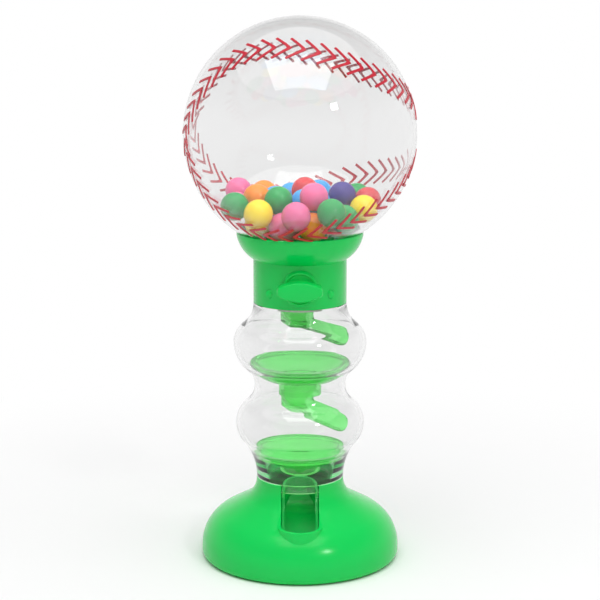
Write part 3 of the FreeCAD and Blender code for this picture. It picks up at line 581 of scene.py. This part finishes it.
def block(name, outline, low, high):
    """Extrude a flat outline, seen from above in millimetres, from one height to another."""
    clear_selection()
    bpy.ops.mesh.primitive_plane_add(size=MM)
    piece = bpy.context.object
    piece.name = name
    bpy.ops.object.mode_set(mode="EDIT")
    bpy.ops.mesh.select_all(action="SELECT")
    bpy.ops.mesh.merge(type="CENTER")
    bpy.ops.transform.translate(value=(outline[0][0] * MM, outline[0][1] * MM, low * MM))
    for here, there in zip(outline, outline[1:]):
        step = ((there[0] - here[0]) * MM, (there[1] - here[1]) * MM, 0)
        bpy.ops.mesh.extrude_region_move(TRANSFORM_OT_translate={"value": step})
    bpy.ops.mesh.select_all(action="SELECT")
    bpy.ops.mesh.remove_doubles(threshold=1e-6)
    bpy.ops.mesh.edge_face_add()
    bpy.ops.mesh.extrude_region_move(TRANSFORM_OT_translate={"value": (0, 0, (high - low) * MM)})
    bpy.ops.mesh.select_all(action="SELECT")
    bpy.ops.mesh.normals_make_consistent(inside=False)
    bpy.ops.object.mode_set(mode="OBJECT")
    return piece


def apply_modifier(piece, kind, **settings):
    clear_selection()
    piece.select_set(True)
    bpy.context.view_layer.objects.active = piece
    modifier = piece.modifiers.new(kind, kind)
    for key, value in settings.items():
        setattr(modifier, key, value)
    bpy.ops.object.modifier_apply(modifier=modifier.name)


def carve(piece, operation, tool):
    """Fuse, cut or trim a piece with another one, which is used up."""
    apply_modifier(piece, "BOOLEAN", operation=operation, object=tool, solver="EXACT")
    bpy.data.objects.remove(tool)
    return piece


def soften(piece, width, segments=2, angle=40):
    """Round the sharp edges and smooth the rest."""
    apply_modifier(piece, "BEVEL", width=width * MM, segments=segments, limit_method="ANGLE",
                   angle_limit=math.radians(angle), harden_normals=False)
    bpy.ops.object.shade_smooth_by_angle(angle=EDGE_SMOOTH_ANGLE)


# %% [markdown]
# A slot and a half-round lip break the bell at the front. The lip is fused to the bell, and then the
# slot is cut through both.

# %% Slot and lip
LIP_TOP = 22.33
LIP_HEIGHT = 9.0
LIP_REACH = 39.8
LIP_WALL = 1.5
SLOT_HALF = 8.4
SLOT_BACK = -9.8
ABOVE_BASE = 60.0
LIP_FOOT = LIP_TOP - LIP_HEIGHT
LIP_RADIUS = SLOT_HALF + LIP_WALL
LIP_CENTRE = -(LIP_REACH - LIP_RADIUS)


def round_front(half, count=16):
    """A half circle around the lip's centre, from left to right by way of the front."""
    tip = (0, LIP_CENTRE - half)
    return bow((-half, LIP_CENTRE), tip, half, 1, count) + bow(tip, (half, LIP_CENTRE), half, 1, count)


def slot_outline(half, back):
    """A slot from a straight back to a round front, anticlockwise from above."""
    return [(half, back), (-half, back), (-half, LIP_CENTRE)] + round_front(half)


lip = block("lip_block", slot_outline(LIP_RADIUS, LIP_CENTRE + LIP_RADIUS), LIP_FOOT, LIP_TOP)
carve(base, "UNION", lip)
slot = block("slot_block", slot_outline(SLOT_HALF, SLOT_BACK), LIP_FOOT - BASE_WALL, ABOVE_BASE)
carve(base, "DIFFERENCE", slot)
soften(base, 0.35)
print("base", len(base.data.polygons), "faces")

# %% [markdown]
# Inside the slot sits the delivery chute, a long well with a ramp. The gumball lands on the ramp's
# quarter curve and rolls out to the lip. The well is a block, its hollow is another block with the
# ramp taken out of it, and the bell's own profile trims the top.

# %% Delivery chute
INSERT_GAP = 0.3
INSERT_WALL = 1.3
INSERT_FOOT = 2.0
INSERT_TOP = 31.5
INSERT_INSET = 0.8
RAMP_ARC = 12.0
RAMP_DROP = 3.3
RAMP_FALL = 1.0
RAMP_WALL = 1.5
HOLLOW_TOP = 45.0
TRIM_LOW, TRIM_HIGH = -5.0, 50.0
insert_half = SLOT_HALF - INSERT_GAP
insert_bore = insert_half - INSERT_WALL


def round_slot(half):
    """A slot with a round back at the upright axis and a round front at the lip."""
    back = bow((half, 0), (0, half), half, 1, 16) + bow((0, half), (-half, 0), half, 1, 16)
    return [(half, 0)] + back + [(-half, LIP_CENTRE)] + round_front(half)


ramp_height = LIP_TOP - RAMP_DROP
ramp_start = insert_bore - RAMP_ARC
tail = LIP_CENTRE - insert_half
ramp_line = [(insert_bore, ramp_height + RAMP_ARC)]
ramp_line += bow(ramp_line[-1], (ramp_start, ramp_height), RAMP_ARC, -1, 16)
ramp_line += [(tail, ramp_height - RAMP_FALL), (tail, ramp_height - RAMP_FALL - RAMP_WALL)]
ramp_line += [(ramp_start, ramp_height - RAMP_WALL)]
ramp_back = (insert_bore + RAMP_WALL, ramp_height + RAMP_ARC)
ramp_line += bow(ramp_line[-1], ramp_back, RAMP_ARC + RAMP_WALL, 1, 16)
ramp = block("ramp", ramp_line, -SLOT_HALF, SLOT_HALF)
# The ramp was drawn flat, with depth across and height up: stand it up on the machine's middle plane
ramp.data.transform(Matrix(((0, 0, 1, 0), (1, 0, 0, 0), (0, 1, 0, 0), (0, 0, 0, 1))))
hollow = carve(block("hollow", round_slot(insert_bore), 0.0, HOLLOW_TOP), "DIFFERENCE", ramp)
well = carve(block("delivery_well", round_slot(insert_half), INSERT_FOOT, INSERT_TOP), "DIFFERENCE", hollow)
trim = [(0, TRIM_LOW), (BASE_RADIUS - INSERT_INSET, TRIM_LOW)] + bell(INSERT_INSET)
trim += [(RING_RADIUS - INSERT_INSET, TRIM_HIGH), (0, TRIM_HIGH)]
carve(well, "INTERSECT", turned("trim", trim, 128, closed=False))
soften(well, 0.2)
# The well takes the darkened green, a painted shade for the hollow of the slot
finish(well, painted_shade_plastic, "green_plastic", "machine", "delivery_chute")
print("delivery chute", len(well.data.polygons), "faces")

# %% [markdown]
# A chute is a cup with a spoon: the gumball drops in at the top, turns the elbow and leaves along the
# spoon, which is the lower part of a sloping pipe. Cup and spoon are fused first, and then one passage
# hollows both.

# %% Spoon chute
CHUTE_RADIUS = 8.5
CHUTE_WALL = 1.2
CUP_HEIGHT = 12.0
CUP_CORNER = 3.2
SPOON_LENGTH = 25.0
SPOON_OPEN = math.radians(42)
PLAN_LOW = -20.0
OVER_MOUTH = 5.0
RUN_LENGTH = 50.0
PASSAGE = CHUTE_RADIUS - CHUTE_WALL
spoon_edge = CHUTE_RADIUS * math.cos(SPOON_OPEN)
spoon_half = CHUTE_RADIUS * math.sin(SPOON_OPEN)
heading = Matrix.Rotation(math.radians(-14), 4, "Z")
slope = Matrix.Rotation(math.radians(22), 4, "Y")
roll = Matrix.Rotation(math.radians(30), 4, "X")
along = Matrix.Rotation(math.radians(90), 4, "Y")
mouth = top_of("upper_chute")
foot = mouth - CUP_HEIGHT
elbow = foot + CHUTE_WALL + PASSAGE
to_elbow = Matrix.Translation((0, 0, elbow * MM)) @ heading @ slope @ roll


def rod(name, radius, start, end, steps):
    """A turned solid cylinder from one height to another."""
    return turned(name, [(0, start), (radius, start), (radius, end), (0, end)], steps, closed=False)


cup_line = [(0, foot), (CHUTE_RADIUS - CUP_CORNER, foot), (CHUTE_RADIUS, foot + CUP_CORNER)]
cup_line += [(CHUTE_RADIUS, mouth), (0, mouth)]
chute = turned("upper_spoon_chute", cup_line, 96, closed=False)
pipe = rod("pipe", CHUTE_RADIUS, 0, SPOON_LENGTH, 96)
pipe.data.transform(along)
tip = SPOON_LENGTH - spoon_half
plan = [(0, -spoon_half), (tip, -spoon_half)]
plan += bow((tip, -spoon_half), (SPOON_LENGTH, 0), spoon_half, 1, 14)
plan += bow((SPOON_LENGTH, 0), (tip, spoon_half), spoon_half, 1, 14) + [(0, spoon_half)]
carve(pipe, "INTERSECT", block("plan", plan, PLAN_LOW, -spoon_edge))
pipe.data.transform(to_elbow)
carve(chute, "UNION", pipe)
bend_line = [(0, foot + CHUTE_WALL)] + bow((0, foot + CHUTE_WALL), (PASSAGE, elbow), PASSAGE, 1, 14)
bend_line += [(PASSAGE, mouth + OVER_MOUTH), (0, mouth + OVER_MOUTH)]
carve(chute, "DIFFERENCE", turned("bend", bend_line, 96, closed=False))
run = rod("run", PASSAGE, 0, RUN_LENGTH, 96)
run.data.transform(to_elbow @ along)
carve(chute, "DIFFERENCE", run)
soften(chute, 0.25)
print("chute", len(chute.data.polygons), "faces")

# %% [markdown]
# Both chutes come from one mould, so the lower one is a copy of the upper one, a stage further down.
# Like the funnels they throw no shadow here, because a traced one is too dark for thin tinted plastic.

# %% Both chutes
lower = placed_copy(chute, Matrix.Translation((0, 0, (chute_top - mouth) * MM)))
lower.name = "lower_spoon_chute"
for piece, node in ((chute, "upper_chute"), (lower, "lower_chute")):
    finish(piece, tinted_plastic, "translucent_green", "machine", node)
    piece.visible_shadow = False
    print(piece.name, "stands for", node)

# %% [markdown]
# The knob turns the drum behind it. Its flange and stem are turned like everything else and then laid
# forward, and the grip is a lens-shaped block with soft edges, long enough for two fingers.

# %% Knob
KNOB_RADIUS = 7.5
KNOB_DEPTH = 9.2
STEM_RADIUS = 3.0
STEM_END = 8.7
FLANGE = 1.6
FLANGE_BAND = 0.9
FACE_DIP = 0.4
GRIP_HALF = 9.8
GRIP_TIP = 1.4
GRIP_SWELL = 2.85
GRIP_ROOT = 0.8
lay_forward = Matrix.Translation((0, 0, KNOB_HEIGHT * MM)) @ Matrix.Rotation(math.radians(90), 4, "X")
knob_back = -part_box("knob")[0][1] / MM - KNOB_DEPTH
flange_top = knob_back + FLANGE
face_radius = KNOB_RADIUS - FLANGE_BAND
flange_face = flange_top - FACE_DIP
knob_line = [(0, STEM_END), (STEM_RADIUS, STEM_END), (STEM_RADIUS, knob_back)]
knob_line += [(KNOB_RADIUS - EDGE, knob_back), (KNOB_RADIUS, knob_back + EDGE)]
knob_line += [(KNOB_RADIUS, flange_top - EDGE), (KNOB_RADIUS - EDGE, flange_top)]
knob_line += [(face_radius, flange_top), (face_radius - FACE_DIP, flange_face), (0, flange_face)]
knob = turned("turn_knob", knob_line, 96, closed=False)
grip_arc = (GRIP_HALF**2 + GRIP_SWELL**2) / (2 * GRIP_SWELL)
grip_line = [(-GRIP_HALF, -GRIP_TIP)]
grip_line += bow(grip_line[-1], (GRIP_HALF, -GRIP_TIP), grip_arc, 1, 24) + [(GRIP_HALF, GRIP_TIP)]
grip_line += bow(grip_line[-1], (-GRIP_HALF, GRIP_TIP), grip_arc, 1, 24)
grip = block("grip", grip_line, knob_back + GRIP_ROOT, knob_back + KNOB_DEPTH)
soften(grip, 1.1, 4, 30)
join(knob, grip)
knob.data.transform(lay_forward)
finish(knob, green_plastic, "green_plastic", "dispenser", "knob")

# %% [markdown]
# Behind the knob the neck has a flat round boss, bored through for the knob's stem. A small round pip
# stands on each side of it, a little lower. All of them are turned pieces laid forward.

# %% Boss and pips
STEM_BORE = 3.15
BORE_START, BORE_END = 10.0, 25.0
BOSS_RADIUS = 7.9
BOSS_ROOT = 18.0
BOSS_FACE = 21.5
BOSS_EDGE = 0.4
PIP_SPREAD = 13.0
PIP_DROP = 3.4
PIP_RADIUS = 2.0
PIP_ROOT = 13.5
PIP_STAND = 1.0
PIP_DOME = 0.8
PIP_ARC = 2.9
bore = rod("bore", STEM_BORE, BORE_START, BORE_END, 48)
bore.data.transform(lay_forward)
carve(neck_front, "DIFFERENCE", bore)
bpy.ops.object.shade_smooth_by_angle(angle=EDGE_SMOOTH_ANGLE)
boss_line = [(STEM_BORE, BOSS_ROOT), (BOSS_RADIUS, BOSS_ROOT), (BOSS_RADIUS, BOSS_FACE - BOSS_EDGE)]
boss_line += [(BOSS_RADIUS - BOSS_EDGE, BOSS_FACE), (STEM_BORE, BOSS_FACE)]
boss = turned("boss", boss_line, 72)
boss.data.transform(lay_forward)
pip_face = math.sqrt(NECK_RADIUS**2 - PIP_SPREAD**2) + PIP_STAND
pip_side = (PIP_RADIUS, pip_face - PIP_DOME)
pip_line = [(0, PIP_ROOT), (PIP_RADIUS, PIP_ROOT), pip_side] + bow(pip_side, (0, pip_face), PIP_ARC, 1, 8)
pips = []
for side in (-PIP_SPREAD, PIP_SPREAD):
    pip = turned("pip", pip_line, 32, closed=False)
    pip.data.transform(Matrix.Translation((side * MM, 0, -PIP_DROP * MM)) @ lay_forward)
    pips.append(pip)
join(neck_front, boss, *pips)
finish(neck_front, green_plastic, "green_plastic", "machine", "neck_front_shell")
print("neck_front", len(neck_front.data.polygons), "faces")

# %% [markdown]
# The rear half is held by two screws, deep in round holes at the back. A post is fused on inside for
# each, and then a stepped hole, wide for the head and narrow for the shank, is cut through post and wall.

# %% Screw holes
SCREW_SPREAD = 14.2
SCREW_SEAT = 8.0
POST_RADIUS = 3.6
POST_START = 0.2
HEAD_HOLE = 2.6
SHANK_HOLE = 1.5
HOLE_START = -1.0
HOLE_END = 25.0
lay_back = Matrix.Translation((0, 0, KNOB_HEIGHT * MM)) @ Matrix.Rotation(math.radians(-90), 4, "X")
post_end = math.sqrt(neck_bore**2 - SCREW_SPREAD**2)
post_line = [(0, POST_START), (POST_RADIUS, POST_START), (POST_RADIUS, post_end), (0, post_end)]
hole_line = [(0, HOLE_START), (SHANK_HOLE, HOLE_START), (SHANK_HOLE, SCREW_SEAT)]
hole_line += [(HEAD_HOLE, SCREW_SEAT), (HEAD_HOLE, HOLE_END), (0, HOLE_END)]
for operation, line in (("UNION", post_line), ("DIFFERENCE", hole_line)):
    tools = []
    for side in (-SCREW_SPREAD, SCREW_SPREAD):
        tool = turned("screw_tool", line, 48, closed=False)
        tool.data.transform(Matrix.Translation((side * MM, 0, 0)) @ lay_back)
        tools.append(tool)
    carve(neck_rear, operation, join(*tools))
bpy.ops.object.shade_smooth_by_angle(angle=EDGE_SMOOTH_ANGLE)
finish(neck_rear, green_plastic, "green_plastic", "machine", "neck_rear_shell")
print("neck_rear", len(neck_rear.data.polygons), "faces")

# %% [markdown]
# Some pieces are hardly seen: the hopper and the drum behind the knob, the screws and the cover under
# the base. Their CAD meshes stay as they are and only get a finish: plain natural plastic, the base's
# own green with a duller skin, and zinc-plated steel.

# %% Inner pieces
# Natural plastic straight from the mould: off-white and dull
natural_plastic, natural_shader = new_material(
    "natural_polypropylene", Base_Color=linear("#e4e3dc"), IOR=1.49)
moulded_skin(natural_plastic, natural_shader, 5.0, 0.03, 0.35, 0.5)
# The cover's underside has a spark-eroded mould texture, so it hardly shines
cover_plastic, cover_shader = new_material("green_abs_textured", Base_Color=linear("#06a048"), IOR=1.46)
moulded_skin(cover_plastic, cover_shader, 1.2, 0.08, 0.5, 0.65)
# Zinc plating: a bright grey metal with a slightly cloudy shine
zinc, zinc_shader = new_material("zinc_plated_steel", Base_Color=linear("#b4b8bd"), Metallic=1.0)
moulded_skin(zinc, zinc_shader, 1.5, 0.02, 0.28, 0.42)
for node, material in {"hopper_housing": natural_plastic, "dispensing_drum": natural_plastic,
                       "base_plate": cover_plastic, "neck_screws": zinc, "base_screws": zinc}.items():
    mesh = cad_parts[node].data
    mesh.materials.clear()
    mesh.materials.append(material)
    print(node, material.name)

# %% [markdown]
# The globe carries a ball's seam, rows of red chevron stitches. One chevron is a thin strip, turned to
# its slant, cut off at the middle and mirrored, so both arms meet in a mitred point.

# %% One stitch
STITCH_ARM = 9.3
STITCH_WIDTH = 1.2
STITCH_ANGLE = math.radians(40)
clear_selection()
bpy.ops.mesh.primitive_grid_add(x_subdivisions=12, y_subdivisions=2, size=MM)
stitch = bpy.context.object
bpy.ops.object.mode_set(mode="EDIT")
bpy.ops.mesh.select_all(action="SELECT")
bpy.ops.transform.resize(value=(STITCH_ARM + STITCH_WIDTH, STITCH_WIDTH, 1))
bpy.ops.transform.translate(value=(-(STITCH_ARM - STITCH_WIDTH) / 2 * MM, 0, 0))
bpy.ops.object.mode_set(mode="OBJECT")
stitch.data.transform(Matrix.Rotation(-STITCH_ANGLE, 4, "Z"))
bpy.ops.object.mode_set(mode="EDIT")
bpy.ops.mesh.select_all(action="SELECT")
bpy.ops.mesh.bisect(plane_co=(0, 0, 0), plane_no=(0, 1, 0), clear_inner=True)
bpy.ops.object.mode_set(mode="OBJECT")
apply_modifier(stitch, "MIRROR", use_axis=(False, True, False))
print("stitch", len(stitch.data.polygons), "faces")

# %% [markdown]
# The seam is one closed curve that parts two interlocking lobes. It is walked in small steps to measure
# its length, so that the stitches can stand at even distances along it.

# %% Seam line
LOBE = math.radians(75)
SWING = math.radians(23)
LEAN = math.radians(3.5)
WIDEN = math.radians(7.5)
TILT = Matrix.Rotation(math.radians(1.8), 3, "X")
STITCH_STEP = 6.4
SEAM_STEPS = 4000


def seam_direction(turn):
    """Direction from the globe's centre to the seam; its waist lies across, a lobe faces the front."""
    latitude = LOBE * math.cos(turn)
    swing = SWING - LEAN * math.sin(turn / 2)
    longitude = turn / 2 + swing * math.sin(2 * turn) - WIDEN * math.sin(turn) * math.sin(turn / 2)
    ring = math.cos(latitude)
    return TILT @ Vector((math.sin(latitude), -ring * math.sin(longitude), ring * math.cos(longitude)))


samples = [seam_direction(math.tau * 2 * index / SEAM_STEPS) for index in range(SEAM_STEPS + 1)]
lengths = [0.0]
for here, there in zip(samples, samples[1:]):
    lengths.append(lengths[-1] + here.angle(there) * GLOBE_RADIUS)
stitch_count = round(lengths[-1] / STITCH_STEP)
print("seam", round(lengths[-1]), "mm for", stitch_count, "stitches")

# %% [markdown]
# Each stitch is a copy of the chevron that points along the seam. Together they are wrapped onto the
# globe and given a little thickness, so they stand on it as a fine relief.

# %% Stitching
STITCH_LIFT = 0.03
STITCH_RELIEF = 0.3
globe_middle = Vector((0, 0, GLOBE_CENTRE))
copies = []
cursor = 0
for number in range(stitch_count):
    while lengths[cursor] < lengths[-1] * number / stitch_count:
        cursor += 1
    outward = samples[cursor]
    forward = (samples[(cursor - 1) % SEAM_STEPS] - samples[(cursor + 1) % SEAM_STEPS]).normalized()
    facing = Matrix((forward, outward.cross(forward), outward)).transposed().to_4x4()
    place = Matrix.Translation((globe_middle + outward * GLOBE_RADIUS) * MM) @ facing
    copies.append(placed_copy(stitch, place))
bpy.data.objects.remove(stitch)
stitching = join(*copies)
stitching.name = "globe_stitching"
apply_modifier(stitching, "SHRINKWRAP", target=globe, wrap_method="NEAREST_SURFACEPOINT",
               wrap_mode="ABOVE_SURFACE", offset=STITCH_LIFT * MM)
apply_modifier(stitching, "SOLIDIFY", thickness=STITCH_RELIEF * MM, offset=1.0)
soften(stitching, 0.1, 1)
# Red relief: a flat strong red, duller than the polished globe under it
red_relief, red_shader = new_material("red_abs_relief", Base_Color=linear("#c01a30"), IOR=1.5)
moulded_skin(red_relief, red_shader, 1.5, 0.04, 0.3, 0.45)
finish(stitching, red_relief, "gum_red", "filled_globe")
print("stitching", len(stitching.data.polygons), "faces")

# %% [markdown]
# The camera stands where the photographer stood: a long lens, a little above the machine. The plain
# Standard view keeps the white background white.

# %% Camera
CAMERA_PLACE = (0, -726.7, 263.5)
CAMERA_AIM = (0, 0, 117.6)


def aim_at(thing, target):
    thing.rotation_euler = (Vector(target) * MM - thing.location).to_track_quat("-Z", "Y").to_euler()


clear_selection()
bpy.ops.object.camera_add(location=[axis * MM for axis in CAMERA_PLACE])
camera = bpy.context.object
aim_at(camera, CAMERA_AIM)
camera.data.lens = 100.0
camera.data.sensor_width = 36.0
bpy.context.scene.camera = camera
bpy.context.scene.view_settings.view_transform = "Standard"
print("camera", tuple(camera.location))

# %% [markdown]
# Three lamps light the plastics. A wide sun stands in for a bright ceiling and gives the soft light, a
# softbox overhead leaves the window-shaped patch on the globe, and a small lamp adds the sparks.

# %% Lamps
def add_lamp(kind, name, place, aim, power, **settings):
    bpy.ops.object.light_add(type=kind, location=[axis * MM for axis in place])
    lamp = bpy.context.object
    lamp.name = name
    aim_at(lamp, aim)
    lamp.data.energy = power
    for key, value in settings.items():
        setattr(lamp.data, key, value)
    print(name, power)
    return lamp


panel = add_lamp("SUN", "ceiling_panel", (0, -60, 900), (0, 0, 0), 2.3, angle=math.radians(95))
panel.visible_glossy = False
add_lamp("AREA", "key_softbox", (0, -225, 690), (0, -160, 190), 1.35,
         shape="RECTANGLE", size=0.5, size_y=0.39)
add_lamp("AREA", "side_spark", (463, -637, 626), (0, 0, 160), 1.2,
         shape="RECTANGLE", size=0.09, size_y=0.09)

# %% [markdown]
# The floor is matte paper. Close to the machine it takes the shadow, and further out it fades into plain
# white, but only for what is seen: the light that it throws back onto the machine stays that of paper.

# %% Floor
FLOOR_SIZE = 8.0
FLOOR_DROP = 0.2
FADE_START, FADE_END = 70.0, 330.0


def ray_share(tree_owner):
    """1 for what is seen straight, in a gloss or through glass, and 0 for the light on the object."""
    rays = add_node(tree_owner, "ShaderNodeLightPath")
    total = rays.outputs["Is Camera Ray"]
    for kind in ("Is Glossy Ray", "Is Transmission Ray"):
        either = add_node(tree_owner, "ShaderNodeMath", {"operation": "MAXIMUM"})
        tree_owner.node_tree.links.new(total, either.inputs[0])
        tree_owner.node_tree.links.new(rays.outputs[kind], either.inputs[1])
        total = either.outputs[0]
    return total


clear_selection()
bpy.ops.mesh.primitive_plane_add(size=FLOOR_SIZE, location=(0, 0, -FLOOR_DROP * MM))
floor = bpy.context.object
floor.name = "studio_floor"
# Matte paper: it keeps the soft shadow near the machine and fades into plain white further out
paper, paper_shader = new_material("studio_paper_matte", Base_Color=linear("#f4f4f4"), Roughness=0.9)
floor.data.materials.append(paper)
links = paper.node_tree.links
spot = add_node(paper, "ShaderNodeTexCoord")
reach = add_node(paper, "ShaderNodeVectorMath", {"operation": "LENGTH"})
links.new(spot.outputs["Object"], reach.inputs[0])
fade = add_node(paper, "ShaderNodeMapRange", {
    "interpolation_type": "SMOOTHSTEP", "From Min": FADE_START * MM, "From Max": FADE_END * MM},
    Value=reach.outputs["Value"])
share = add_node(paper, "ShaderNodeMath", {"operation": "MULTIPLY"})
links.new(fade.outputs["Result"], share.inputs[0])
links.new(ray_share(paper), share.inputs[1])
white = add_node(paper, "ShaderNodeEmission", {"Strength": 1.0})
blend = add_node(paper, "ShaderNodeMixShader", Fac=share.outputs[0])
links.new(paper_shader.outputs["BSDF"], blend.inputs[1])
links.new(white.outputs["Emission"], blend.inputs[2])
links.new(blend.outputs["Shader"], paper.node_tree.nodes["Material Output"].inputs["Surface"])
print("floor fades from", FADE_START, "to", FADE_END, "mm")

# %% [markdown]
# The world is white where it is seen and faint as a light. It darkens overhead, which gives the clear
# pieces the grey that draws their outlines.

# %% World
SKY_LIGHT = 0.22
CEILING_GREY = 0.35
CEILING_START, CEILING_END = 0.2, 0.7
world = bpy.data.worlds.new("studio_world")
bpy.context.scene.world = world
world.use_nodes = True
sky = world.node_tree.nodes["Background"]
level = add_node(world, "ShaderNodeMapRange", {"To Min": SKY_LIGHT, "To Max": 1.0}, Value=ray_share(world))
world.node_tree.links.new(level.outputs["Result"], sky.inputs["Strength"])
place = add_node(world, "ShaderNodeTexCoord")
height = add_node(world, "ShaderNodeSeparateXYZ", Vector=place.outputs["Generated"])
ceiling = add_node(world, "ShaderNodeMapRange", {
    "From Min": CEILING_START, "From Max": CEILING_END, "To Min": 1.0, "To Max": CEILING_GREY},
    Value=height.outputs["Z"])
world.node_tree.links.new(ceiling.outputs["Result"], sky.inputs["Color"])
print("world", world.name)
